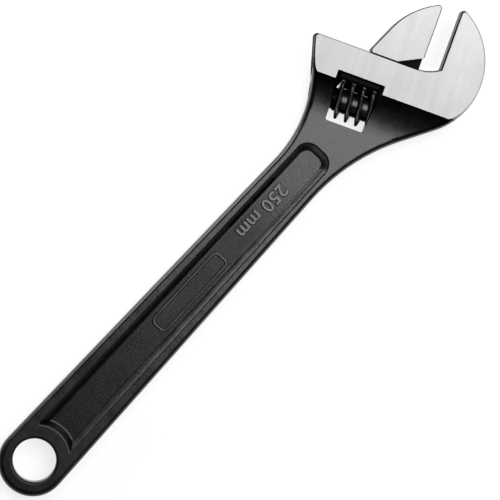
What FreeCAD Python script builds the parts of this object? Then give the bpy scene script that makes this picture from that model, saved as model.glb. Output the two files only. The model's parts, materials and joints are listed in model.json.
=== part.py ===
import FreeCAD, Part
import math
import os

from FreeCAD import Placement, Rotation, Vector

# Adjustable wrench, 250 mm nominal, jaws open 8 mm.  Millimetres.
#
# World frame: origin in the middle of the hanging hole, half way through the thickness.
# +X runs along the handle to the head, +Y points to the movable jaw's side, +Z is the front face.
#
# Head frame: origin on the land, the flat top of the head that the movable jaw slides on.
# Its x points out along the jaws, and its y is the way that the movable jaw opens.

SIZES = {
    # handle, in the world frame
    "handle_reach": 208.0,      # hanging hole to the head frame's origin, along X
    "head_offset": 1.2,         # head frame's origin beside the handle's centreline
    "head_angle": 22.8,         # turn of the head from the handle, degrees
    "tail_radius": 13.4,        # rounded end of the handle
    "tail_setback": 0.9,        # centre of that round behind the hole
    "hang_hole_r": 8.4,
    "hang_hole_round": 1.0,     # rounded rim of the hole
    "neck_half": 10.6,          # half width of the handle where it is narrowest
    "neck_back": 58.0,          # narrowest place behind the head frame's origin
    "flange_thick": 9.4,        # handle over its flanges
    "web_thick": 4.8,           # handle between the two panels
    "edge_round": 2.2,          # rounded edges of the forging
    "panel_half_tail": 8.2,     # half width of the sunk panel at the tail
    "panel_half_head": 7.2,     # and at the head
    "panel_slope": 44.0,        # slope of the panel's walls, degrees from upright
    "panel_head_back": 45.4,    # head end of the panel behind the head frame's origin
    "panel_corner_r": 5.5,      # corners at the head end
    "panel_ring_r": 14.2,       # ring left round the hanging hole
    "panel_rim_round": 1.0,
    "panel_floor_round": 1.2,
    # head of the forging
    "head_thick": 13.0,         # over the two ground faces
    "grind_stock": 0.7,         # taken off each face of the head by grinding
    "land_left": 34.2,          # land's corner on the movable jaw's side
    "left_draft": 16.0,         # lean of that side, degrees
    "left_corner_r": 1.2,
    "left_blend_r": 50.0,       # sweep from that side into the handle
    "fixed_back": 33.5,         # furthest reach of the fixed jaw's round back
    "fixed_back_r": 28.3,       # radius of that back
    "fixed_back_rise": 2.3,     # its centre above the land
    "flare_angle": 29.2,        # flare of the head below the fixed jaw, from the handle, degrees
    "flare_blend_r": 78.0,
    "ground_depth": 14.35,      # ground faces reach this far below the land
    "ramp_angle": 11.0,         # fall of the forged face from there to the neck, degrees
    "ramp_blend_r": 60.0,
    # mouth
    "mouth_gap": 7.6,           # between the jaws as drawn
    "movable_face": 9.05,       # movable jaw's face past the head frame's origin
    "jaw_tip": 26.8,            # jaw tips above the land
    "tip_round": 1.2,
    "throat_start": 7.6,        # end of the land
    "throat_rise": 2.85,        # foot of the fixed jaw's face above the land
    # window, knurl, pin and spring
    "window_middle": 11.05,
    "window_width": 15.7,
    "window_low": 30.45,        # below the land
    "window_high": 10.65,
    "window_corner_r": 0.9,
    "window_bevel_start": 4.7,  # height at which the side walls start to lean out
    "knurl_axis": 21.45,        # below the land
    "knurl_r": 7.5,
    "knurl_root_r": 4.6,
    "knurl_pitch": 4.25,
    "knurl_crest": 1.2,         # width of the ridge at its crest
    "knurl_foot": 2.4,          # and at its root
    "knurl_end_gap": 0.25,
    "knurl_hub_r": 4.3,
    "knurl_hub_len": 1.05,
    "knurl_break": 0.35,        # broken edges of its end faces
    "knurl_phase": 5.3,         # a ridge's middle, at the front, left of the window's middle
    "pin_r": 2.0,
    "pin_gap": 0.1,             # running clearance on the pin
    "pin_thread_r": 3.0,
    "pin_thread_len": 6.6,
    "pin_seat_wall": 1.6,       # wall left between the screw's shoulder and the window
    "pin_tail": 4.4,            # reach of the pin's plain end into the far wall
    "pin_break": 0.45,          # broken edges of its two ends
    "screw_slot_width": 1.1,
    "screw_slot_depth": 1.3,
    "spring_wire_r": 0.35,
    "spring_pin_gap": 0.37,     # pin to the spring's wire
    "spring_pocket_gap": 0.33,  # wire to the pocket's wall
    "spring_pocket_depth": 6.2,
    "spring_seat_gap": 0.05,    # wire to the bottom of the pocket
    "spring_turns": 4.0,
    # movable jaw
    "bar_r": 4.4,
    "bar_gap": 0.1,             # running clearance in the bore
    "bar_len": 36.0,
    "mesh_gap": 0.2,            # rack's tips above the knurl's root
    "rack_gap": 0.3,            # knurl's crest to the rack's root
    "flank_gap": 0.12,          # play on each flank
    "tongue_thick": 4.7,
    "tongue_gap": 0.15,         # each side of the tongue
    "tongue_setback": 0.3,      # tongue and bar end behind the gripping face
    "land_gap": 0.1,
    "base_left": 11.0,          # movable jaw's base on the land
    "heel_out": 11.4,
    "heel_rise": 1.2,
    "heel_round": 1.2,
    "shoulder_rise": 21.2,      # corner of the jaw's back, rounded by shoulder_r
    "shoulder_out": 2.45,
    "shoulder_r": 28.8,
    "relief_rise": 4.75,        # foot of the movable gripping face above the land
    "relief_foot": 0.2,
    "jaw_edge_round": 0.4,      # broken edges of the movable jaw
}

doc = FreeCAD.newDocument("adjustable_wrench")


def fill_sheet():
    sheet = doc.addObject("Spreadsheet::Sheet", "sizes")
    for row, (alias, value) in enumerate(SIZES.items(), 1):
        sheet.set(f"A{row}", alias)
        sheet.set(f"B{row}", str(value))
        sheet.setAlias(f"B{row}", alias)
    doc.recompute()
    return sheet


sheet = fill_sheet()


def size(alias):
    return float(getattr(sheet, alias))


def bind(thing, **properties):
    """Tie properties of a document object to expressions of the sheet's cells."""
    for name, expression in properties.items():
        thing.setExpression(name.replace("__", "."), expression)
    return thing


# ---------------------------------------------------------------- frames


def head_frame():
    return Placement(
        Vector(size("handle_reach"), size("head_offset"), 0),
        Rotation(Vector(0, 0, 1), size("head_angle")),
    )


def knurl_frame():
    """Origin in the middle of the window on the knurl's axis, z to the fixed jaw, x to the front."""
    turn = Rotation(Vector(0, 0, 1), Vector(-1, 0, 0), Vector(0, -1, 0), "ZXY")
    local = Placement(Vector(-size("knurl_axis"), size("window_middle"), 0), turn)
    return head_frame().multiply(local)


def in_world(x, y):
    """World plan position of a head-frame plan position."""
    return head_frame().multVec(Vector(x, y, 0))


# ---------------------------------------------------------------- outlines


def unit(v):
    return v * (1.0 / v.Length)


def crossing(a, along_a, b, along_b):
    """Where two plan lines meet, each given by a point and a direction."""
    across = along_a.x * along_b.y - along_a.y * along_b.x
    gap = b - a
    return a + along_a * ((gap.x * along_b.y - gap.y * along_b.x) / across)


def rounding(before, corner, after, radius):
    """Start, middle and end of the arc that rounds a corner."""
    back = unit(before - corner)
    on = unit(after - corner)
    half = back.getAngle(on) / 2
    reach = radius / math.tan(half)
    centre = corner + unit(back + on) * (radius / math.sin(half))
    middle = centre - unit(back + on) * radius
    return corner + back * reach, middle, corner + on * reach


def line_edge(a, b):
    return Part.LineSegment(a, b)


def arc_edge(a, middle, b):
    return Part.Arc(a, middle, b)


def rounded_outline(corners):
    """Closed outline through corners (x, y, radius); a radius of 0 stays sharp."""
    points = [Vector(x, y, 0) for x, y, _ in corners]
    stops = []
    for i, (_, _, radius) in enumerate(corners):
        here = points[i]
        after = points[(i + 1) % len(points)]
        stops.append(rounding(points[i - 1], here, after, radius) if radius else (here, None, here))
    edges = []
    for i, (start, middle, end) in enumerate(stops):
        if middle:
            edges.append(arc_edge(start, middle, end))
        edges.append(line_edge(end, stops[(i + 1) % len(stops)][0]))
    return edges


def sketch_of(name, edges, placement=None):
    sketch = doc.addObject("Sketcher::SketchObject", name)
    for edge in edges:
        sketch.addGeometry(edge, False)
    if placement:
        sketch.Placement = placement
    return sketch


def plate(name, edges, thickness, placement=None):
    """A sketch pulled equally to both sides, its thickness an expression."""
    pull = doc.addObject("Part::Extrusion", name)
    pull.Base = sketch_of(name + "_outline", edges, placement)
    pull.DirMode = "Normal"
    pull.Solid = True
    pull.Symmetric = True
    bind(pull, LengthFwd=thickness)
    return pull


def fused(name, *shapes):
    join = doc.addObject("Part::MultiFuse", name)
    join.Shapes = list(shapes)
    join.Refine = True
    return join


def cut(name, base, tool):
    part = doc.addObject("Part::Cut", name)
    part.Base = base
    part.Tool = tool
    part.Refine = True
    return part


def common(name, base, tool):
    part = doc.addObject("Part::Common", name)
    part.Base = base
    part.Tool = tool
    part.Refine = True
    return part


def round_edges(name, base, radius, chosen):
    """Fillet of the base's edges that the test chosen picks."""
    doc.recompute()
    picked = [(i, radius, radius) for i, edge in enumerate(base.Shape.Edges, 1) if chosen(edge)]
    fillet = doc.addObject("Part::Fillet", name)
    fillet.Base = base
    fillet.Edges = picked
    return fillet


def rod(name, radius, length, placement):
    """Cylinder along its placement's z."""
    cylinder = doc.addObject("Part::Cylinder", name)
    cylinder.Placement = placement
    return bind(cylinder, Radius=radius, Height=length)


def in_head(x, y, z, turn=None):
    return head_frame().multiply(Placement(Vector(x, y, z), turn or Rotation()))


# y of the head frame becomes the cylinder's z
ALONG_TRAVEL = Rotation(Vector(1, 0, 0), -90)


# ---------------------------------------------------------------- derived places


def fixed_face():
    return size("movable_face") + size("mouth_gap")


def bar_axis():
    """Depth of the bar's axis below the land: its rack just clears the knurl's root."""
    return size("knurl_axis") - size("knurl_root_r") - size("mesh_gap") - size("bar_r")


def panel_run():
    """Sideways run of a panel wall over its height."""
    drop = (size("flange_thick") - size("web_thick")) / 2
    return drop, drop * math.tan(math.radians(size("panel_slope")))


# ---------------------------------------------------------------- wrench body


def tail_tangent():
    """Where the handle's straight side leaves the round of the tail, on the +Y side."""
    centre = Vector(-size("tail_setback"), 0, 0)
    neck = Vector(size("handle_reach") - size("neck_back"), size("neck_half"), 0)
    span = neck - centre
    lean = math.atan2(span.y, span.x) + math.acos(size("tail_radius") / span.Length)
    return centre + Vector(math.cos(lean), math.sin(lean), 0) * size("tail_radius"), neck


def mirrored(v):
    return Vector(v.x, -v.y, v.z)


def forging_edges():
    tangent, neck = tail_tangent()
    side = unit(neck - tangent)
    left_corner = in_world(0, size("land_left"))
    lean = math.radians(size("head_angle") + size("left_draft"))
    left_side = Vector(math.cos(lean), math.sin(lean), 0)
    left_turn = crossing(tangent, side, left_corner, left_side)
    throat = in_world(0, -size("throat_start"))

    back_centre = Vector(size("fixed_back_rise"), size("fixed_back_r") - size("fixed_back"), 0)
    flare = math.radians(size("flare_angle") + size("head_angle"))
    back_end = back_centre - Vector(math.sin(flare), math.cos(flare), 0) * size("fixed_back_r")
    flare_way = Vector(
        math.cos(math.radians(size("flare_angle"))),
        -math.sin(math.radians(size("flare_angle"))),
        0,
    )
    flare_end = in_world(back_end.x, back_end.y)
    right_turn = crossing(mirrored(tangent), mirrored(side), flare_end, flare_way)

    # the throat's arc leaves the land square to it and ends at the foot of the fixed face
    run = fixed_face() - size("throat_start")
    rise = size("throat_rise")
    throat_r = (run * run + rise * rise) / (2 * rise)
    half_way = math.asin(run / throat_r) / 2
    throat_middle = in_world(
        throat_r * (1 - math.cos(half_way)),
        -size("throat_start") - throat_r * math.sin(half_way),
    )
    throat_end = in_world(rise, -fixed_face())

    # tip: a small round between the gripping face and the jaw's back
    tip_r = size("tip_round")
    tip_y = -fixed_face() - tip_r
    reach = math.sqrt((size("fixed_back_r") - tip_r) ** 2 - (tip_y - back_centre.y) ** 2)
    tip = Vector(back_centre.x + reach, tip_y, 0)
    outward = unit(tip - back_centre)
    tip_middle = tip + unit(outward + Vector(0, 1, 0)) * tip_r
    tip_end = back_centre + outward * size("fixed_back_r")
    back_middle = back_centre + Vector(0, -1, 0) * size("fixed_back_r")

    turn_a, turn_b, turn_c = rounding(tangent, left_turn, left_corner, size("left_blend_r"))
    land_a, land_b, land_c = rounding(left_turn, left_corner, throat, size("left_corner_r"))
    low_a, low_b, low_c = rounding(
        flare_end, right_turn, mirrored(tangent), size("flare_blend_r")
    )
    return [
        line_edge(tangent, turn_a),
        arc_edge(turn_a, turn_b, turn_c),
        line_edge(turn_c, land_a),
        arc_edge(land_a, land_b, land_c),
        line_edge(land_c, throat),
        arc_edge(throat, throat_middle, throat_end),
        line_edge(throat_end, in_world(tip.x, -fixed_face())),
        arc_edge(in_world(tip.x, -fixed_face()), in_world(tip_middle.x, tip_middle.y),
                 in_world(tip_end.x, tip_end.y)),
        arc_edge(in_world(tip_end.x, tip_end.y), in_world(back_middle.x, back_middle.y), flare_end),
        line_edge(flare_end, low_a),
        arc_edge(low_a, low_b, low_c),
        line_edge(low_c, mirrored(tangent)),
        arc_edge(mirrored(tangent), Vector(-size("tail_setback") - size("tail_radius"), 0, 0), tangent),
    ]


def forged_half():
    """Half the head's thickness before grinding."""
    return size("head_thick") / 2 + size("grind_stock")


def side_profile():
    """Thickness of the forging along the head frame's x: thick head, ramp, then the handle."""
    flange = size("flange_thick") / 2
    forged = forged_half()
    slope = math.tan(math.radians(size("ramp_angle")))
    ground = size("head_thick") / 2
    ramp_top = -size("ground_depth") + (forged - ground) / slope
    ramp_foot = -size("ground_depth") - (ground - flange) / slope
    far = size("handle_reach") + 4 * size("tail_radius")
    front = size("jaw_tip") + size("head_thick")
    blend = size("ramp_blend_r")
    return rounded_outline([
        (front, forged, 0),
        (ramp_top, forged, blend),
        (ramp_foot, flange, blend),
        (-far, flange, 0),
        (-far, -flange, 0),
        (ramp_foot, -flange, blend),
        (ramp_top, -forged, blend),
        (front, -forged, 0),
    ])


def forged_blank():
    plan = plate("forging_plan", forging_edges(), "sizes.head_thick + 2 * sizes.grind_stock")
    # the side profile's plane stands on the head frame's x axis, and is pulled across the head
    upright = head_frame().multiply(Placement(Vector(), Rotation(Vector(1, 0, 0), 90)))
    side = plate("forging_side", side_profile(), "4 * sizes.handle_reach", upright)
    blank = common("forging_blank", plan, side)

    back = head_frame().inverse()
    sharp = 0.6 * size("edge_round")

    def outer(edge):
        """Rim edges of the forging, apart from those of the land, throat and gripping face."""
        lowest = min(v.Point.z for v in edge.Vertexes)
        highest = max(v.Point.z for v in edge.Vertexes)
        if lowest * highest <= 0:
            return False
        middle = edge.valueAt((edge.FirstParameter + edge.LastParameter) / 2)
        ends = [back.multVec(v.Point) for v in edge.Vertexes]
        local = back.multVec(middle)
        across_top = all(abs(p.z) > 0 and abs(p.y - ends[0].y) > sharp for p in ends[1:])
        on_land = abs(local.x) < 0.01
        in_throat = 0 < local.x < size("throat_rise") and -fixed_face() < local.y < 0
        on_face = abs(local.y + fixed_face()) < 0.01
        crosses_plan = len(edge.Vertexes) == 2 and abs(ends[0].x - ends[1].x) < 0.01 and across_top
        return not (on_land or in_throat or on_face or crosses_plan)

    return round_edges("forging_rounded", blank, size("edge_round"), outer)


def panel_edges(inset):
    """Outline of the sunk panel, moved in by inset all round."""
    ring = size("panel_ring_r") + inset
    tail_half = size("panel_half_tail") - inset
    head_half = size("panel_half_head") - inset
    end = size("handle_reach") - size("panel_head_back") - inset
    corner = size("panel_corner_r") - inset
    start = math.sqrt(ring * ring - tail_half * tail_half)
    a = Vector(start, tail_half, 0)
    b = Vector(start, -tail_half, 0)
    top = Vector(end, head_half, 0)
    low = Vector(end, -head_half, 0)
    top_a, top_b, top_c = rounding(a, top, low, corner)
    low_a, low_b, low_c = rounding(top, low, b, corner)
    return [
        line_edge(a, top_a),
        arc_edge(top_a, top_b, top_c),
        line_edge(top_c, low_a),
        arc_edge(low_a, low_b, low_c),
        line_edge(low_c, b),
        arc_edge(b, Vector(ring, 0, 0), a),
    ]


def panel_pocket(name, facing):
    """One sunk panel as a solid: wide at the flange, narrow at the web."""
    drop, run = panel_run()
    over = 1.0
    floor = size("web_thick") / 2
    rim = size("flange_thick") / 2 + over
    rim_at = Placement(Vector(0, 0, facing * rim), Rotation())
    floor_at = Placement(Vector(0, 0, facing * floor), Rotation())
    wide = sketch_of(name + "_rim", panel_edges(-over * run / drop), rim_at)
    narrow = sketch_of(name + "_floor", panel_edges(run), floor_at)
    loft = doc.addObject("Part::Loft", name)
    loft.Sections = [narrow, wide]
    loft.Solid = True
    loft.Ruled = True
    return loft


def window():
    """Through opening for the knurl, its two side walls leaning out near the faces."""
    half = size("window_width") / 2
    straight = size("window_bevel_start")
    over = forged_half()
    lean = over - straight
    edges = rounded_outline([
        (-half, -straight, 0),
        (-half - lean, -over, 0),
        (half + lean, -over, 0),
        (half, -straight, 0),
        (half, straight, 0),
        (half + lean, over, 0),
        (-half - lean, over, 0),
        (-half, straight, 0),
    ])
    # sketch x is the head's y, sketch y is z, and its normal points out along the jaws
    turn = Rotation(Vector(0, 1, 0), Vector(0, 0, 1), Vector(1, 0, 0), "ZXY")
    opening = doc.addObject("Part::Extrusion", "window")
    low_middle = in_head(-size("window_low"), size("window_middle"), 0, turn)
    opening.Base = sketch_of("window_section", edges, low_middle)
    opening.DirMode = "Normal"
    opening.Solid = True
    bind(opening, LengthFwd="sizes.window_low - sizes.window_high")
    doc.recompute()
    back = head_frame().inverse()

    def handle_corner(edge):
        ends = [back.multVec(v.Point) for v in edge.Vertexes]
        low = all(abs(p.x + size("window_low")) < 0.01 for p in ends)
        return low and abs(ends[0].y - ends[1].y) < 0.01

    return round_edges("window_rounded", opening, size("window_corner_r"), handle_corner)


def bar_bore():
    """Keyhole for the bar and the tongue: open at the left, blind under the fixed jaw."""
    end = -(fixed_face() + size("tongue_setback"))
    bore = rod("bar_bore", "sizes.bar_r + sizes.bar_gap", "2 * sizes.land_left",
               in_head(-bar_axis(), end, 0, ALONG_TRAVEL))
    slot = doc.addObject("Part::Box", "tongue_slot")
    slot_half = size("tongue_thick") / 2 + size("tongue_gap")
    slot.Placement = in_head(-bar_axis(), -fixed_face(), -slot_half)
    bind(slot, Length="2 * sizes.knurl_axis", Width="2 * sizes.land_left",
         Height="sizes.tongue_thick + 2 * sizes.tongue_gap")
    return fused("keyhole", bore, slot)


def left_wall():
    """Head-frame y of the window's wall on the movable jaw's side."""
    return size("window_middle") + size("window_width") / 2


def right_wall():
    return size("window_middle") - size("window_width") / 2


def pin_hole():
    """Stepped hole for the pin, drilled from the left side."""
    seat = left_wall() + size("pin_seat_wall")
    seat_at = in_head(-size("knurl_axis"), seat, 0, ALONG_TRAVEL)
    wide = rod("screw_hole", "sizes.pin_thread_r", "sizes.land_left", seat_at)
    blind = right_wall() - size("pin_tail") - size("pin_gap")
    narrow = rod("shank_hole", "sizes.pin_r + sizes.pin_gap", "sizes.land_left",
                 in_head(-size("knurl_axis"), blind, 0, ALONG_TRAVEL))
    return fused("pin_hole", wide, narrow)


def wrench_body():
    blank = forged_blank()
    grind = doc.addObject("Part::Box", "ground_slab")
    grind.Placement = Placement(
        Vector(-size("handle_reach"), -size("handle_reach"), -size("head_thick") / 2), Rotation()
    )
    bind(grind, Length="3 * sizes.handle_reach", Width="2 * sizes.handle_reach", Height="sizes.head_thick")
    ground = common("ground_forging", blank, grind)
    pockets = fused("panels", panel_pocket("front_panel", 1), panel_pocket("back_panel", -1))
    hole = rod("hang_hole", "sizes.hang_hole_r", "2 * sizes.head_thick",
               Placement(Vector(0, 0, -size("head_thick")), Rotation()))
    sunk = cut("sunk_forging", ground, fused("handle_cuts", pockets, hole))
    floor = size("web_thick") / 2
    rim = size("flange_thick") / 2
    panel_end = size("handle_reach") - size("panel_head_back")

    def lies_at(edge, height):
        return all(abs(abs(v.Point.z) - height) < 0.01 for v in edge.Vertexes)

    def middle_of(edge):
        return edge.valueAt((edge.FirstParameter + edge.LastParameter) / 2)

    def hole_rim(edge):
        reach = math.hypot(size("hang_hole_r"), rim)
        return lies_at(edge, rim) and abs(middle_of(edge).Length - reach) < 0.1

    def panel_rim(edge):
        middle = middle_of(edge)
        beyond_ring = math.hypot(middle.x, middle.y) > (size("hang_hole_r") + size("panel_ring_r")) / 2
        within = middle.x < panel_end + 0.1 and abs(middle.y) < size("panel_half_tail") + 0.3
        return lies_at(edge, rim) and beyond_ring and within

    def panel_floor(edge):
        return lies_at(edge, floor)

    rimmed = round_edges("hole_rounded", sunk, size("hang_hole_round"), hole_rim)
    lipped = round_edges("panel_rims_rounded", rimmed, size("panel_rim_round"), panel_rim)
    smooth = round_edges("panel_floors_rounded", lipped, size("panel_floor_round"), panel_floor)
    return cut("wrench_body", smooth, fused("head_openings", window(), bar_bore(), pin_hole()))


# ---------------------------------------------------------------- movable jaw


def shoulder_round(base, heel, shoulder, tip, relief):
    """Radius of the jaw's back, or the widest that leaves straight runs beside its neighbours' rounds."""
    heel_end = rounding(base, heel, shoulder, size("heel_round"))[2]
    tip_start = rounding(shoulder, tip, relief, size("tip_round"))[0]
    run = min((heel_end - shoulder).Length, (tip_start - shoulder).Length) - size("jaw_edge_round")
    half = (heel - shoulder).getAngle(tip - shoulder) / 2
    return min(size("shoulder_r"), run * math.tan(half))


def jaw_plan():
    face = -size("movable_face")
    base = Vector(size("land_gap"), size("base_left"), 0)
    heel = Vector(size("heel_rise"), size("heel_out"), 0)
    shoulder = Vector(size("shoulder_rise"), size("shoulder_out"), 0)
    tip = Vector(size("jaw_tip"), face, 0)
    relief = Vector(size("relief_rise"), face, 0)
    back_r = shoulder_round(base, heel, shoulder, tip, relief)
    return rounded_outline([
        (base.x, base.y, 0),
        (heel.x, heel.y, size("heel_round")),
        (shoulder.x, shoulder.y, back_r),
        (tip.x, tip.y, size("tip_round")),
        (relief.x, relief.y, 0),
        (size("land_gap"), size("relief_foot"), 0),
    ])


def tongue_plan():
    """Web between the jaw and the bar, cut back along a slope towards the bar's far end."""
    face = -size("movable_face") + size("tongue_setback")
    far = face + size("bar_len")
    top = size("relief_rise")
    back_foot = -bar_axis() + 0.8 * size("bar_r")
    return rounded_outline([
        (-bar_axis(), face, 0),
        (-bar_axis(), far - size("bar_r") / 4, 0),
        (back_foot, far - size("bar_r") / 4, 0),
        (size("land_gap"), size("base_left"), 2 * size("heel_round")),
        (top, size("heel_out") / 2, 0),
        (top, face, 0),
    ])


def rack_grooves():
    """Grooves of the rack, one pitch apart and inclined like the knurl's ridges."""
    pitch = size("knurl_pitch")
    crest = size("knurl_r")
    root = size("knurl_root_r")
    tip_at = root + size("mesh_gap")                # rack's tips, from the knurl's axis
    root_at = crest + size("rack_gap")              # rack's roots, from the knurl's axis

    def ridge_width(radius):
        share = (crest - radius) / (crest - root)
        return size("knurl_crest") + share * (size("knurl_foot") - size("knurl_crest"))

    below = tip_at - 1.0
    mouth = ridge_width(below) / 2 + size("flank_gap")
    bottom = ridge_width(root_at) / 2 + size("flank_gap")
    lead = math.atan(pitch / (2 * math.pi * (root + crest) / 2))
    reach = 3 * size("bar_r")
    slide = reach * math.tan(lead)
    axis = size("knurl_axis")
    # at the rack's side, a ridge lies a quarter of a pitch nearer the movable jaw's side than in front
    ridge = size("window_middle") + size("knurl_phase") + pitch / 4
    first = -size("movable_face") + size("tongue_setback")
    last = first + size("bar_len")
    lowest = math.ceil((first - pitch - ridge) / pitch)
    highest = math.floor((last + pitch - ridge) / pitch)
    grooves = []
    for n in range(lowest, highest + 1):
        y = ridge + n * pitch
        corners = [
            Vector(-axis + below, y - mouth, 0),
            Vector(-axis + below, y + mouth, 0),
            Vector(-axis + root_at, y + bottom, 0),
            Vector(-axis + root_at, y - bottom, 0),
        ]
        face = Part.Face(Part.makePolygon(corners + corners[:1]))
        face.translate(Vector(0, slide, -reach))
        grooves.append(face.extrude(Vector(0, -2 * slide, 2 * reach)))
    tool = doc.addObject("Part::Feature", "rack_grooves")
    tool.Shape = Part.makeCompound(grooves)
    tool.Placement = head_frame()
    return tool


def movable_jaw():
    block = plate("jaw_block", jaw_plan(), "sizes.head_thick", head_frame())
    back = head_frame().inverse()

    def back_rim(edge):
        """Rim of the jaw's two ground faces, apart from the base and the relief."""
        if any(abs(abs(v.Point.z) - size("head_thick") / 2) > 0.01 for v in edge.Vertexes):
            return False
        middle = back.multVec(edge.valueAt((edge.FirstParameter + edge.LastParameter) / 2))
        on_base = abs(middle.x - size("land_gap")) < 0.01
        on_relief = middle.x < size("relief_rise") and middle.y < size("relief_foot")
        return not (on_base or on_relief)

    jaw = round_edges("jaw_rounded", block, size("jaw_edge_round"), back_rim)
    tongue = plate("jaw_tongue", tongue_plan(), "sizes.tongue_thick", head_frame())
    start = -size("movable_face") + size("tongue_setback")
    bar = rod("jaw_bar", "sizes.bar_r", "sizes.bar_len", in_head(-bar_axis(), start, 0, ALONG_TRAVEL))
    whole = fused("jaw_whole", jaw, tongue, bar)
    return cut("movable_jaw", whole, rack_grooves())


# ---------------------------------------------------------------- turned pieces


def plane_of(body, role):
    return next(f for f in body.Origin.OriginFeatures if f.Role == role)


def body_sketch(body, name, role, edges):
    sketch = body.newObject("Sketcher::SketchObject", name)
    sketch.AttachmentSupport = [(plane_of(body, role), "")]
    sketch.MapMode = "FlatFace"
    for edge in edges:
        sketch.addGeometry(edge, False)
    return sketch


def turned(body, name, corners):
    """Revolve an outline of (radius, along) corners about the body's z."""
    sketch = body_sketch(body, name + "_section", "XZ_Plane", rounded_outline(corners))
    turn = body.newObject("PartDesign::Revolution", name)
    turn.Profile = sketch
    turn.ReferenceAxis = (sketch, ["V_Axis"])
    turn.Angle = 360
    doc.recompute()
    return turn


def new_body(label):
    body = doc.addObject("PartDesign::Body", label)
    body.Label = label
    return body


def spring_mean_r():
    return size("pin_r") + size("spring_pin_gap") + size("spring_wire_r")


def spring_pocket_r():
    return spring_mean_r() + size("spring_wire_r") + size("spring_pocket_gap")


def adjusting_knurl():
    """Worm with one right-hand ridge, bored for the pin, with a pocket for the spring."""
    body = new_body("adjusting_knurl")
    half = size("window_width") / 2 - size("knurl_end_gap")
    thread_start = -half + size("knurl_hub_len")
    crest = size("knurl_r")
    root = size("knurl_root_r")
    bore = size("pin_r") + size("pin_gap")
    pocket = spring_pocket_r()
    break_edge = size("knurl_break")
    turned(body, "knurl_blank", [
        (bore, -half, 0),
        (size("knurl_hub_r"), -half, 0),
        (size("knurl_hub_r"), thread_start, 0),
        (crest - break_edge, thread_start, 0),
        (crest, thread_start + break_edge, 0),
        (crest, half - break_edge, 0),
        (crest - break_edge, half, 0),
        (pocket, half, 0),
        (pocket, half - size("spring_pocket_depth"), 0),
        (bore, half - size("spring_pocket_depth"), 0),
    ])
    pitch = size("knurl_pitch")
    widen = (size("knurl_foot") - size("knurl_crest")) / 2 / (crest - root)
    over = 1.0
    floor = (pitch - size("knurl_foot")) / 2
    mouth = floor + (crest + over - root) * widen
    ridge = -size("knurl_phase")
    first = ridge + pitch / 2 - 2 * pitch
    groove = body_sketch(body, "knurl_groove_section", "XZ_Plane", rounded_outline([
        (root, first - floor, 0),
        (crest + over, first - mouth, 0),
        (crest + over, first + mouth, 0),
        (root, first + floor, 0),
    ]))
    helix = body.newObject("PartDesign::SubtractiveHelix", "knurl_groove")
    helix.Profile = groove
    helix.ReferenceAxis = (groove, ["V_Axis"])
    helix.Mode = 0
    helix.Pitch = pitch
    helix.Height = 6 * pitch
    helix.Angle = 0
    helix.LeftHanded = False
    helix.Reversed = False
    bind(helix, Pitch="sizes.knurl_pitch", Height="6 * sizes.knurl_pitch")
    body.Tip = helix
    body.Placement = knurl_frame()
    return body


def knurl_pin():
    """Headless screw and plain shank that the knurl turns on, with a slot in its outer end."""
    body = new_body("knurl_pin")
    seat = -size("window_width") / 2 - size("pin_seat_wall")
    head = seat - size("pin_thread_len")
    tail = size("window_width") / 2 + size("pin_tail")
    shank = size("pin_r")
    thread = size("pin_thread_r")
    break_edge = size("pin_break")
    turned(body, "pin_blank", [
        (0, head, 0),
        (thread - break_edge, head, 0),
        (thread, head + break_edge, 0),
        (thread, seat, 0),
        (shank, seat, 0),
        (shank, tail - break_edge, 0),
        (shank - break_edge, tail, 0),
        (0, tail, 0),
    ])
    half = size("screw_slot_width") / 2
    slot_sketch = body_sketch(body, "slot_section", "XZ_Plane", rounded_outline([
        (-half, head - 1, 0),
        (half, head - 1, 0),
        (half, head + size("screw_slot_depth"), 0),
        (-half, head + size("screw_slot_depth"), 0),
    ]))
    slot = body.newObject("PartDesign::Pocket", "screw_slot")
    slot.Profile = slot_sketch
    slot.Midplane = True
    bind(slot, Length="4 * sizes.pin_thread_r")
    body.Tip = slot
    body.Placement = knurl_frame()
    return body


def knurl_spring():
    """Small coil round the pin that keeps the knurl from rattling."""
    body = new_body("knurl_spring")
    wire = size("spring_wire_r")
    wall = size("window_width") / 2
    inner = wall - size("knurl_end_gap") - size("spring_pocket_depth")
    start = inner + wire + size("spring_seat_gap")
    length = wall - wire - start
    sketch = body_sketch(body, "spring_section", "XZ_Plane",
                         [Part.Circle(Vector(spring_mean_r(), start, 0), Vector(0, 0, 1), wire)])
    coil = body.newObject("PartDesign::AdditiveHelix", "coil")
    coil.Profile = sketch
    coil.ReferenceAxis = (sketch, ["V_Axis"])
    coil.Mode = 0
    coil.Pitch = length / size("spring_turns")
    coil.Height = length
    coil.Angle = 0
    body.Tip = coil
    body.Placement = knurl_frame()
    return body


# ---------------------------------------------------------------- write


def check_document():
    for thing in doc.Objects:
        if "Invalid" in thing.State or "Error" in thing.State:
            raise RuntimeError(f"{thing.Label} failed: {thing.State}")


def write(parts):
    os.makedirs("parts", exist_ok=True)
    for part in parts:
        if part.Shape.isNull() or not part.Shape.isValid():
            raise RuntimeError(f"{part.Label} has no valid shape")
        print(part.Label, "solids", len(part.Shape.Solids), "volume", round(part.Shape.Volume, 1))
    for part in parts:
        part.Shape.exportStep(f"parts/{part.Label}.step")


parts = [wrench_body(), movable_jaw(), adjusting_knurl(), knurl_pin(), knurl_spring()]
doc.recompute()
check_document()
write(parts)
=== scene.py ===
import json
import math

import bmesh
import bpy
from mathutils import Matrix, Vector


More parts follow.
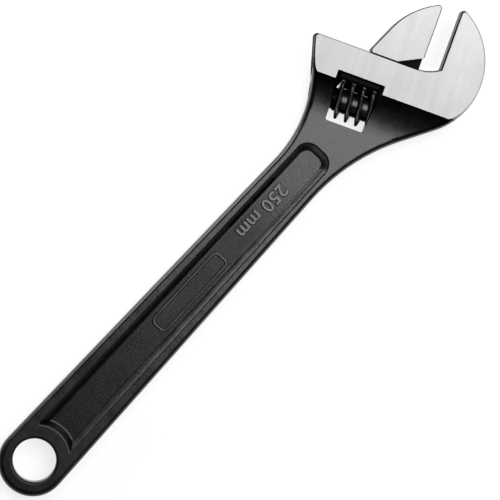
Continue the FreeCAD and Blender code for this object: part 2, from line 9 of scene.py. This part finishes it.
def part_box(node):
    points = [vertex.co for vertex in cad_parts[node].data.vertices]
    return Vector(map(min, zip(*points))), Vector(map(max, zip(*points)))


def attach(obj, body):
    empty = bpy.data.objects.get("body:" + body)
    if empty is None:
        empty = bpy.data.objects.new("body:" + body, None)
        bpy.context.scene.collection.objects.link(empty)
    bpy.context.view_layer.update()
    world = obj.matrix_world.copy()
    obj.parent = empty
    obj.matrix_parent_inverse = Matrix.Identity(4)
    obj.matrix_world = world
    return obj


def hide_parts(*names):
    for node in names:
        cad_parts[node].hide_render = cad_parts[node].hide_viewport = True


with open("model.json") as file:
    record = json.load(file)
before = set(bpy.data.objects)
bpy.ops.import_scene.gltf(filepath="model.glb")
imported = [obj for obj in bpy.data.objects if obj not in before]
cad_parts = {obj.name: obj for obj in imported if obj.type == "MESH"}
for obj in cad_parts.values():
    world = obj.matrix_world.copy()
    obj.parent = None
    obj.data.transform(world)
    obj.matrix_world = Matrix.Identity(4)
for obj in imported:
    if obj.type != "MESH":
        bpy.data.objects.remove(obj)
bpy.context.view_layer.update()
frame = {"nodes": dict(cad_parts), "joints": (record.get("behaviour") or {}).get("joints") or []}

MM = 0.001
JOINTS = {joint["name"]: joint for joint in frame["joints"]}

# The jaws open along OPENING and reach out along REACH; KNURL_AXIS points to the fixed jaw.
KNURL_AXIS = Vector(JOINTS["knurl_spin"]["axis"]).normalized()
KNURL_MIDDLE = Vector(JOINTS["knurl_spin"]["pos_m"])
OPENING = -KNURL_AXIS
REACH = Vector((OPENING.y, -OPENING.x, 0.0))
HANDLE = Vector((1.0, 0.0, 0.0))
GRIND_TURN = math.atan2(REACH.y, REACH.x)

FACE_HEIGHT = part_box("wrench_body")[1].z
FLOOR_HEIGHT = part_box("adjusting_knurl")[0].z - 0.02 * MM
FACE_EDGE = 1.2 * MM
PANEL_FLOOR = 2.4 * MM
SAME_HEIGHT = 0.01 * MM

# Places in the head, in millimetres from the middle of the knurl, along OPENING and REACH.
LAND_REACH = 8.1
WINDOW_HALF = 12.0
WINDOW_LOW, WINDOW_HIGH = -9.6, 11.4
MOUTH_REACH = 20.0
MOUTH_START, MOUTH_END = -21.0, -3.0


# ---------------------------------------------------------------- node helpers


class Finish:
    """A material's node tree, with short calls that add and join its nodes."""

    def __init__(self, name):
        self.material = bpy.data.materials.new(name)
        self.material.use_nodes = True
        self.tree = self.material.node_tree
        self.shader = self.tree.nodes["Principled BSDF"]
        self.place = self.add("ShaderNodeTexCoord").outputs["Object"]

    def add(self, kind, **settings):
        node = self.tree.nodes.new(kind)
        for name, value in settings.items():
            setattr(node, name, value)
        return node

    def feed(self, socket, value):
        if isinstance(value, bpy.types.NodeSocket):
            self.tree.links.new(value, socket)
        else:
            socket.default_value = value

    def math(self, operation, a, b=0.0):
        node = self.add("ShaderNodeMath", operation=operation)
        self.feed(node.inputs[0], a)
        self.feed(node.inputs[1], b)
        return node.outputs[0]

    def grain_place(self, turn, stretch):
        """Coordinates turned so that x runs along the grain, then scaled by stretch."""
        node = self.add("ShaderNodeMapping", vector_type="TEXTURE")
        self.feed(node.inputs["Vector"], self.place)
        node.inputs["Rotation"].default_value = (0.0, 0.0, turn)
        node.inputs["Scale"].default_value = [1.0 / s for s in stretch]
        return node.outputs["Vector"]

    def noise(self, scale, detail=4.0, roughness=0.6, place=None):
        node = self.add("ShaderNodeTexNoise")
        self.feed(node.inputs["Vector"], place or self.place)
        node.inputs["Scale"].default_value = scale
        node.inputs["Detail"].default_value = detail
        node.inputs["Roughness"].default_value = roughness
        return node.outputs["Fac"]

    def between(self, value, low, high, new_low, new_high):
        node = self.add("ShaderNodeMapRange")
        self.feed(node.inputs["Value"], value)
        node.inputs["From Min"].default_value = low
        node.inputs["From Max"].default_value = high
        node.inputs["To Min"].default_value = new_low
        node.inputs["To Max"].default_value = new_high
        return node.outputs["Result"]

    def along(self, way, low, high, new_low, new_high):
        """A value that runs from new_low to new_high between two distances (mm) from the knurl."""
        node = self.add("ShaderNodeVectorMath", operation="DOT_PRODUCT")
        self.feed(node.inputs[0], self.place)
        node.inputs[1].default_value = way
        start = KNURL_MIDDLE.dot(way)
        return self.between(node.outputs["Value"], start + low * MM, start + high * MM, new_low, new_high)

    def shade(self, colour, factor):
        node = self.add("ShaderNodeVectorMath", operation="SCALE")
        self.feed(node.inputs[0], colour)
        self.feed(node.inputs["Scale"], factor)
        return node.outputs["Vector"]

    def tones(self, factor, dark, light):
        node = self.add("ShaderNodeMix", data_type="RGBA")
        self.feed(node.inputs[0], factor)
        self.feed(node.inputs[6], (dark, dark, dark, 1.0))
        self.feed(node.inputs[7], (light, light, light, 1.0))
        return node.outputs[2]

    def bump(self, height, strength, distance, under=None):
        node = self.add("ShaderNodeBump")
        node.inputs["Strength"].default_value = strength
        node.inputs["Distance"].default_value = distance
        self.feed(node.inputs["Height"], height)
        if under:
            self.feed(node.inputs["Normal"], under)
        return node.outputs["Normal"]

    def done(self, **sockets):
        for name, value in sockets.items():
            self.feed(self.shader.inputs[name.replace("_", " ")], value)
        return self.material


# ---------------------------------------------------------------- finishes


def black_phosphate(name, tone, roughness, grain=1.0, hammered=0.1, painted_shade=None):
    """Phosphated and oiled forging: cloudy near-black over a fine grain, with painted shade darker down
    the handle.

    A painted shade is a line, two distances along it and the shades there; it paints shade and light into
    the colour.
    """
    f = Finish(name)
    clouds = f.noise(110.0, 5.0, 0.65)
    speckle = f.noise(1100.0, 3.0, 0.7)
    mixed = f.math("ADD", f.math("MULTIPLY", clouds, 0.65), f.math("MULTIPLY", speckle, 0.35))
    colour = f.tones(f.between(mixed, 0.35, 0.65, 0.0, 1.0), tone * 0.85, tone * 1.15)
    # Painted shade: the colour darkens toward the tail end of the handle.
    colour = f.shade(colour, f.along(HANDLE, -184.0, -110.0, 0.6, 1.0))
    # Painted shade and light along a line, where one is given.
    if painted_shade:
        colour = f.shade(colour, f.along(*painted_shade))
    rough = f.between(clouds, 0.3, 0.7, roughness - 0.04, roughness + 0.06)
    rough = f.math("ADD", rough, f.along(HANDLE, -180.0, -110.0, 0.1, 0.0))
    scale_marks = f.bump(f.noise(1400.0, 3.0, 0.65), hammered, 0.00016)
    skin = f.bump(f.noise(240.0, 3.0, 0.55), 0.08 * grain, 0.0006, scale_marks)
    pores = f.bump(f.noise(2200.0, 2.0, 0.6), 0.2 * grain, 0.00005, skin)
    return f.done(Base_Color=colour, Metallic=1.0, Roughness=rough, Normal=pores)


def ground_steel(name):
    """Belt-ground bright steel, its lines running along the jaws, with painted light brightening it
    toward the jaw tips.
    """
    f = Finish(name)
    lines = f.noise(1.0, 4.0, 0.75, f.grain_place(GRIND_TURN, (60.0, 2600.0, 600.0)))
    bands = f.noise(1.0, 3.0, 0.6, f.grain_place(GRIND_TURN, (30.0, 420.0, 90.0)))
    stains = f.noise(70.0, 4.0, 0.6)
    specks = f.noise(1500.0, 2.0, 0.6)
    mixed = f.math("ADD", f.math("MULTIPLY", lines, 0.25), f.math("MULTIPLY", specks, 0.3))
    mixed = f.math("ADD", mixed, f.math("MULTIPLY", stains, 0.45))
    colour = f.tones(f.between(mixed, 0.35, 0.65, 0.0, 1.0), 0.63, 0.71)
    # Painted light: brighter toward the jaw tips.
    colour = f.shade(colour, f.along(REACH, 12.0, 45.0, 1.0, 1.13))
    rough = f.between(bands, 0.3, 0.7, 0.4, 0.44)
    cut = f.bump(lines, 0.06, 0.00006)
    return f.done(Base_Color=colour, Metallic=1.0, Roughness=rough, Normal=cut)


def machined_steel(name, tone, roughness):
    """Plain turned steel with slight stains."""
    f = Finish(name)
    stains = f.noise(320.0, 4.0, 0.6)
    colour = f.tones(f.between(stains, 0.35, 0.65, 0.0, 1.0), tone * 0.85, tone * 1.1)
    rough = f.between(stains, 0.3, 0.7, roughness - 0.05, roughness + 0.07)
    fine = f.bump(f.noise(1800.0, 2.0, 0.6), 0.15, 0.00005)
    return f.done(Base_Color=colour, Metallic=1.0, Roughness=rough, Normal=fine)


FORGED = black_phosphate("forged_black", 0.105, 0.21)
# Painted shade and light: the panel darkens toward the tail and is a little lighter toward the head.
PANEL = black_phosphate("panel_black", 0.1, 0.27, 1.0, 0.6, (HANDLE, -62.0, -38.0, 0.58, 1.1))
# Painted shade: the slope beside the ground faces is painted near-black there, fading to its plain tone
# further off.
RAMP = black_phosphate("ramp_black", 0.105, 0.21, painted_shade=(REACH, -9.5, LAND_REACH - 1.0, 1.0, 0.06))
# Raised marks: painted lighter than the panel, partly as rubbing wear and partly as painted highlight.
RUBBED_AND_LIT = black_phosphate("rubbed_and_lit_black", 0.21, 0.3)
# Edges beside the ground faces: lighter by wear and by a painted highlight.
WORN_AND_LIT_EDGE = black_phosphate("worn_and_lit_edge", 0.36, 0.35)
# Near-black painted shade over the black finish, for walls in recesses, edges turned from the light, the
# jaw and the knurl's ends.
PAINTED_SHADE_BLACK = black_phosphate("painted_shade_black", 0.008, 0.4, 0.5)
GROUND = ground_steel("ground_face")
KNURL_BLACK = black_phosphate("knurl_black", 0.12, 0.24, 0.4)
PIN_STEEL = machined_steel("pin_turned", 0.3, 0.3)
SPRING_STEEL = machined_steel("spring_wire", 0.45, 0.25)


# ---------------------------------------------------------------- carried-over nodes


def finish_node(node, *materials):
    """Put finishes on a carried-over node and return its mesh."""
    mesh = frame["nodes"][node].data
    mesh.materials.clear()
    for material in materials:
        mesh.materials.append(material)
    return mesh


def cut_face_finish(face, is_body):
    """The finish of one face of the body or the jaw, or None where it keeps the node's skin."""
    at = face.center - KNURL_MIDDLE
    travel, reach = at.dot(OPENING) / MM, at.dot(REACH) / MM
    height, facing = abs(face.center.z), abs(face.normal.z)
    outward = face.normal.dot(OPENING)
    if facing > 0.999:
        if abs(height - FACE_HEIGHT) < SAME_HEIGHT:
            return GROUND
        if height < PANEL_FLOOR + SAME_HEIGHT:
            return PANEL if is_body else None
    # Painted shade: walls in the knurl's window are near-black.
    if facing < 0.9 and abs(travel) < WINDOW_HALF and WINDOW_LOW < reach < WINDOW_HIGH:
        return PAINTED_SHADE_BLACK
    if reach > LAND_REACH:
        # Edges beside the ground faces: wear and a painted highlight make them lighter.
        if 0.2 < facing < 0.999 and height > FACE_HEIGHT - FACE_EDGE and outward < 0.2:
            return WORN_AND_LIT_EDGE
        # Painted shade: faces at the land that turn toward the opening jaw are near-black.
        if facing < 0.999 and outward > 0.5:
            return PAINTED_SHADE_BLACK
    # Painted shade: the mouth's walls are near-black.
    if facing < 0.2 and reach > MOUTH_REACH and abs(outward) > 0.9 and MOUTH_START < travel < MOUTH_END:
        return PAINTED_SHADE_BLACK
    return FORGED if facing < 0.75 and is_body else None


def finish_cut_faces(node, skin):
    """Ground faces are bright, their edges lighter by wear and painted highlight; cut walls inside the
    head get near-black painted shade.
    """
    finishes = [skin, GROUND, PAINTED_SHADE_BLACK, PANEL, FORGED, WORN_AND_LIT_EDGE]
    mesh = finish_node(node, *finishes)
    for face in mesh.polygons:
        finish = cut_face_finish(face, node == "wrench_body")
        face.material_index = finishes.index(finish) if finish else 0


# The body's skin is the ramp finish with its painted shade.
finish_cut_faces("wrench_body", RAMP)
# The jaw's skin is near-black painted shade over its black finish, away from its ground faces.
finish_cut_faces("movable_jaw", PAINTED_SHADE_BLACK)
finish_node("knurl_pin", PIN_STEEL)
finish_node("knurl_spring", SPRING_STEEL)


# ---------------------------------------------------------------- pieces


def new_piece(name, mesh, body, material=None):
    piece = bpy.data.objects.new(name, mesh)
    bpy.context.scene.collection.objects.link(piece)
    if material:
        mesh.materials.clear()
        mesh.materials.append(material)
    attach(piece, body)
    return piece


def taken_mesh(source):
    """The evaluated mesh of an object, which is then removed."""
    bpy.context.view_layer.update()
    graph = bpy.context.evaluated_depsgraph_get()
    mesh = bpy.data.meshes.new_from_object(source.evaluated_get(graph))
    bpy.data.objects.remove(source)
    return mesh


class Thread:
    """Geometry Nodes that make the knurl's threaded skin, with its sizes as named inputs."""

    def __init__(self, name):
        self.tree = bpy.data.node_groups.new(name, "GeometryNodeTree")
        self.inputs = self.tree.nodes.new("NodeGroupInput")
        self.outputs = self.tree.nodes.new("NodeGroupOutput")
        self.values = {}

    def size(self, name, value, kind="NodeSocketFloat"):
        socket = self.tree.interface.new_socket(name, in_out="INPUT", socket_type=kind)
        self.values[socket.identifier] = value
        return self.inputs.outputs[name]

    def add(self, kind, **settings):
        node = self.tree.nodes.new(kind)
        for name, value in settings.items():
            setattr(node, name, value)
        return node

    def feed(self, socket, value):
        if isinstance(value, bpy.types.NodeSocket):
            self.tree.links.new(value, socket)
        else:
            socket.default_value = value

    def math(self, operation, *values):
        node = self.add("ShaderNodeMath", operation=operation)
        for socket, value in zip(node.inputs, values):
            self.feed(socket, value)
        return node.outputs[0]

    def build(self, geometry):
        self.tree.interface.new_socket("Geometry", in_out="OUTPUT", socket_type="NodeSocketGeometry")
        self.feed(self.outputs.inputs[0], geometry)
        holder = bpy.data.objects.new("thread_holder", bpy.data.meshes.new("thread_holder"))
        bpy.context.scene.collection.objects.link(holder)
        modifier = holder.modifiers.new("thread", "NODES")
        modifier.node_group = self.tree
        for identifier, value in self.values.items():
            modifier[identifier] = value
        return taken_mesh(holder)


# The knurl's own sizes are in millimetres, with z along its axis from its middle.
KNURL_LOW, KNURL_HIGH = -6.55, 7.6
KNURL_PITCH = 4.25
KNURL_PHASE = 5.3
PITCHES_DRAWN = 5
ROWS_PER_PITCH = 48


def knurl_skin():
    """Helical ridges on a round root, their crests crowned and cut across by fine teeth."""
    t = Thread("knurl_thread")
    start = t.size("Start", -2 * KNURL_PITCH + KNURL_PHASE / 2)
    length = t.size("Length", PITCHES_DRAWN * KNURL_PITCH)
    pitch = t.size("Pitch", KNURL_PITCH)
    crest_r = t.size("Crest radius", 7.48)
    root_r = t.size("Root radius", 4.74)
    crest = t.size("Crest half width", 0.55)
    foot = t.size("Foot half width", 1.22)
    crown = t.size("Crown", 0.3)
    teeth = t.size("Teeth in a turn", 72.0)
    depth = t.size("Tooth depth", 0.3)
    ridge_at = t.size("Ridge at the front", -KNURL_PHASE)
    columns = t.size("Columns", 361, "NodeSocketInt")
    rows = t.size("Rows", PITCHES_DRAWN * ROWS_PER_PITCH + 1, "NodeSocketInt")

    grid = t.add("GeometryNodeMeshGrid")
    grid.inputs["Size X"].default_value = 1.0
    grid.inputs["Size Y"].default_value = 1.0
    t.feed(grid.inputs["Vertices X"], columns)
    t.feed(grid.inputs["Vertices Y"], rows)

    parts = t.add("ShaderNodeSeparateXYZ")
    t.feed(parts.inputs[0], t.add("GeometryNodeInputPosition").outputs[0])
    turn = t.math("ADD", parts.outputs["X"], 0.5)
    along = t.math("MULTIPLY_ADD", t.math("ADD", parts.outputs["Y"], 0.5), length, start)

    off = t.math("PINGPONG", along, t.math("MULTIPLY", pitch, 0.5))
    flank = t.add("ShaderNodeMapRange")
    t.feed(flank.inputs["Value"], off)
    t.feed(flank.inputs["From Min"], crest)
    t.feed(flank.inputs["From Max"], foot)
    flank = flank.outputs["Result"]
    bulge = t.math("MINIMUM", t.math("POWER", t.math("DIVIDE", off, crest), 2.0), 1.0)
    top = t.math("SUBTRACT", crest_r, t.math("MULTIPLY", bulge, crown))
    tooth = t.math("MULTIPLY", t.math("PINGPONG", t.math("MULTIPLY", turn, teeth), 0.5), 2.0)
    top = t.math("SUBTRACT", top, t.math("MULTIPLY", tooth, depth))
    radius = t.math("MULTIPLY_ADD", t.math("SUBTRACT", root_r, top), flank, top)

    angle = t.math("MULTIPLY", turn, math.tau)
    height = t.math("ADD", t.math("MULTIPLY_ADD", turn, pitch, along), ridge_at)
    place = t.add("ShaderNodeCombineXYZ")
    t.feed(place.inputs["X"], t.math("MULTIPLY", radius, t.math("COSINE", angle)))
    t.feed(place.inputs["Y"], t.math("MULTIPLY", radius, t.math("SINE", angle)))
    t.feed(place.inputs["Z"], height)

    shaped = t.add("GeometryNodeSetPosition")
    t.feed(shaped.inputs["Geometry"], grid.outputs["Mesh"])
    t.feed(shaped.inputs["Position"], place.outputs[0])
    joined = t.add("GeometryNodeMergeByDistance")
    t.feed(joined.inputs["Geometry"], shaped.outputs["Geometry"])
    joined.inputs["Distance"].default_value = 0.002
    real = t.add("GeometryNodeRealizeInstances")
    t.feed(real.inputs[0], joined.outputs["Geometry"])
    painted = t.add("GeometryNodeSetMaterial")
    t.feed(painted.inputs["Geometry"], real.outputs[0])
    painted.inputs["Material"].default_value = KNURL_BLACK
    return t.build(painted.outputs["Geometry"])


def ring(bm, radius, height, count=96):
    turns = [math.tau * i / count for i in range(count)]
    return [bm.verts.new((radius * math.cos(a), radius * math.sin(a), height)) for a in turns]


def lathe(bm, profile):
    """Walls turned from (radius, height) points, and the loops of edges at its two ends."""
    rings = [ring(bm, r, z) for r, z in profile]
    for low, high in zip(rings, rings[1:]):
        for i in range(len(low)):
            j = (i + 1) % len(low)
            bm.faces.new((low[i], low[j], high[j], high[i]))
    ends = []
    for loop in (rings[0], rings[-1]):
        ends.append([bm.edges.get((loop[i - 1], loop[i])) for i in range(len(loop))])
    return ends


def adjusting_knurl():
    """The knurl: threaded skin cut square at both ends, a hub, the bore and the spring's pocket."""
    mesh = knurl_skin()
    bm = bmesh.new()
    bm.from_mesh(mesh)
    ends = []
    for height, way in ((KNURL_LOW, -1), (KNURL_HIGH, 1)):
        bmesh.ops.bisect_plane(
            bm,
            geom=bm.verts[:] + bm.edges[:] + bm.faces[:],
            dist=1e-5,
            plane_co=(0, 0, height),
            plane_no=(0, 0, way),
            clear_outer=True,
        )
        rim = [e for e in bm.edges if e.is_boundary]
        ends.append([e for e in rim if all(abs(v.co.z - height) < 1e-3 for v in e.verts)])
    profile = [(4.3, KNURL_LOW), (4.3, -7.4), (4.1, -7.6), (2.4, -7.6), (2.1, -7.3)]
    profile += [(2.1, 1.4), (3.4, 1.4), (3.4, 7.35), (3.65, KNURL_HIGH)]
    for outer, inner in zip(ends, lathe(bm, profile)):
        bmesh.ops.triangle_fill(bm, use_beauty=True, edges=outer + inner)
    bmesh.ops.remove_doubles(bm, verts=bm.verts[:], dist=1e-4)
    bmesh.ops.recalc_face_normals(bm, faces=bm.faces[:])
    side = KNURL_AXIS.cross(Vector((0, 0, 1)))
    basis = Matrix((Vector((0, 0, 1)), side, KNURL_AXIS)).transposed().to_4x4()
    bm.transform(Matrix.Translation(KNURL_MIDDLE) @ basis @ Matrix.Scale(MM, 4))
    bm.to_mesh(mesh)
    bm.free()
    mesh.shade_smooth()
    mesh.set_sharp_from_angle(angle=math.radians(35))
    mesh.materials.clear()
    mesh.materials.append(KNURL_BLACK)
    mesh.materials.append(PAINTED_SHADE_BLACK)
    # Painted shade: the knurl's end faces are near-black.
    for face in mesh.polygons:
        height = (face.center - KNURL_MIDDLE).dot(KNURL_AXIS) / MM
        at_end = height < KNURL_LOW + 0.6 or height > KNURL_HIGH - 0.02
        face.material_index = 1 if at_end else 0
    piece = new_piece("knurl", mesh, "knurl")
    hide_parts("adjusting_knurl")


def shade_sides(piece):
    """Raised marks get near-black painted shade on the sides that face the opening jaw."""
    piece.data.materials.append(PAINTED_SHADE_BLACK)
    for face in piece.data.polygons:
        shaded = face.normal.z < 0.85 and face.normal.dot(OPENING) > 0.2
        face.material_index = 1 if shaded else 0


def size_mark():
    """Raised generic size mark on the front panel, read with the head to the left."""
    curve = bpy.data.curves.new("size_mark", "FONT")
    curve.body = "250 mm"
    curve.align_x = "CENTER"
    curve.align_y = "CENTER"
    curve.size = 7.4
    curve.space_character = 1.05
    curve.extrude = 0.75
    curve.offset = 0.04
    curve.bevel_depth = 0.3
    curve.bevel_resolution = 2
    source = bpy.data.objects.new("size_mark", curve)
    bpy.context.scene.collection.objects.link(source)
    mesh = taken_mesh(source)
    place = Vector((130.0 * MM, 0.7 * MM, PANEL_FLOOR))
    half_turn = Matrix.Rotation(math.pi, 4, "Z")
    mesh.transform(Matrix.Translation(place) @ half_turn @ Matrix.Scale(MM, 4))
    shade_sides(new_piece("size_mark", mesh, "wrench", RUBBED_AND_LIT))


def rounded_rectangle(half_long, half_wide, radius, steps=12):
    points = []
    for quarter, (sx, sy) in enumerate(((1, 1), (-1, 1), (-1, -1), (1, -1))):
        centre = Vector((sx * (half_long - radius), sy * (half_wide - radius)))
        for i in range(steps + 1):
            a = math.pi / 2 * (quarter + i / steps)
            points.append(centre + radius * Vector((math.cos(a), math.sin(a))))
    return points


def mark_border():
    """Raised blank border on the front panel, with sloping sides and a rounded top."""
    section = [(0.65, -0.15), (0.45, 0.4), (0.25, 0.62), (-0.25, 0.62), (-0.45, 0.4), (-0.65, -0.15)]
    bm = bmesh.new()
    loops = []
    for out, up in section:
        outline = rounded_rectangle(18.2 + out, 3.3 + out, 2.0 + out)
        loops.append([bm.verts.new((p.x + 88.2, p.y - 0.05, up)) for p in outline])
    loops.append(loops[0])
    for first, second in zip(loops, loops[1:]):
        for i in range(len(first)):
            bm.faces.new((first[i - 1], first[i], second[i], second[i - 1]))
    bmesh.ops.recalc_face_normals(bm, faces=bm.faces[:])
    mesh = bpy.data.meshes.new("mark_border")
    bm.transform(Matrix.Translation((0, 0, PANEL_FLOOR)) @ Matrix.Scale(MM, 4))
    bm.to_mesh(mesh)
    bm.free()
    mesh.shade_smooth()
    mesh.set_sharp_from_angle(angle=math.radians(50))
    shade_sides(new_piece("mark_border", mesh, "wrench", RUBBED_AND_LIT))


adjusting_knurl()
size_mark()
mark_border()


# ---------------------------------------------------------------- floor, light and camera

PICTURE_TURN = math.radians(47.26)
RIGHT = Vector((math.cos(PICTURE_TURN), -math.sin(PICTURE_TURN), 0.0))
UP = Vector((math.sin(PICTURE_TURN), math.cos(PICTURE_TURN), 0.0))


def floor():
    mesh = bpy.data.meshes.new("floor")
    half = 8.0
    corners = [(x * half, y * half, FLOOR_HEIGHT) for x, y in ((-1, -1), (1, -1), (1, 1), (-1, 1))]
    mesh.from_pydata(corners, [], [(0, 1, 2, 3)])
    f = Finish("pale_floor")
    pale = (0.86, 0.86, 0.86, 1.0)
    f.done(Base_Color=pale, Roughness=0.9, Emission_Color=(1, 1, 1, 1), Emission_Strength=0.75)
    mesh.materials.append(f.material)
    piece = bpy.data.objects.new("floor", mesh)
    bpy.context.scene.collection.objects.link(piece)


def softbox(name, place, aim, wide, tall, radiance):
    """A rectangular light at a place, facing the point it is aimed at."""
    light = bpy.data.lights.new(name, "AREA")
    light.shape = "RECTANGLE"
    light.size, light.size_y = wide, tall
    light.energy = radiance * math.pi * wide * tall
    lamp = bpy.data.objects.new(name, light)
    bpy.context.scene.collection.objects.link(lamp)
    place, aim = Vector(place), Vector(aim)
    turn = (place - aim).to_track_quat("Z", "Y").to_matrix()
    lamp.matrix_world = Matrix.Translation(place) @ turn.to_4x4()
    lamp.visible_camera = False


def sky():
    world = bpy.data.worlds.new("room")
    bpy.context.scene.world = world
    world.use_nodes = True
    nodes, links = world.node_tree.nodes, world.node_tree.links
    place = nodes.new("ShaderNodeTexCoord").outputs["Generated"]
    split = nodes.new("ShaderNodeSeparateXYZ")
    links.new(place, split.inputs[0])
    fade = nodes.new("ShaderNodeMapRange")
    fade.interpolation_type = "SMOOTHSTEP"
    links.new(split.outputs["Z"], fade.inputs["Value"])
    for name, value in (("From Min", 0.0), ("From Max", 0.22), ("To Min", 0.8), ("To Max", 0.05)):
        fade.inputs[name].default_value = value
    links.new(fade.outputs["Result"], nodes["Background"].inputs["Strength"])
    nodes["Background"].inputs["Color"].default_value = (1, 1, 1, 1)


def camera():
    tilt = math.radians(3.1)
    back = Vector((0, 0, 1)) * math.cos(tilt) + OPENING * math.sin(tilt)
    up = (UP - back * UP.dot(back)).normalized()
    side = up.cross(back)
    target = Vector((115.97, -6.34, 0.0)) * MM
    data = bpy.data.cameras.new("camera")
    data.sensor_width = 36.0
    data.lens = 300.0
    distance = 193.42 * MM * data.lens / data.sensor_width
    shot = bpy.data.objects.new("camera", data)
    bpy.context.scene.collection.objects.link(shot)
    turn = Matrix((side, up, back)).transposed().to_4x4()
    shot.matrix_world = Matrix.Translation(target + back * distance) @ turn
    bpy.context.scene.camera = shot


floor()
sky()
softbox("overhead", (0.52, -0.05, 1.0), (0.52, -0.05, 0.0), 0.8, 0.9, 1.75)
softbox("far_side", (0.29, 0.75, 0.24), (0.29, 0.0, 0.0), 0.56, 0.4, 2.4)
camera()
bpy.context.scene.view_settings.view_transform = "Standard"
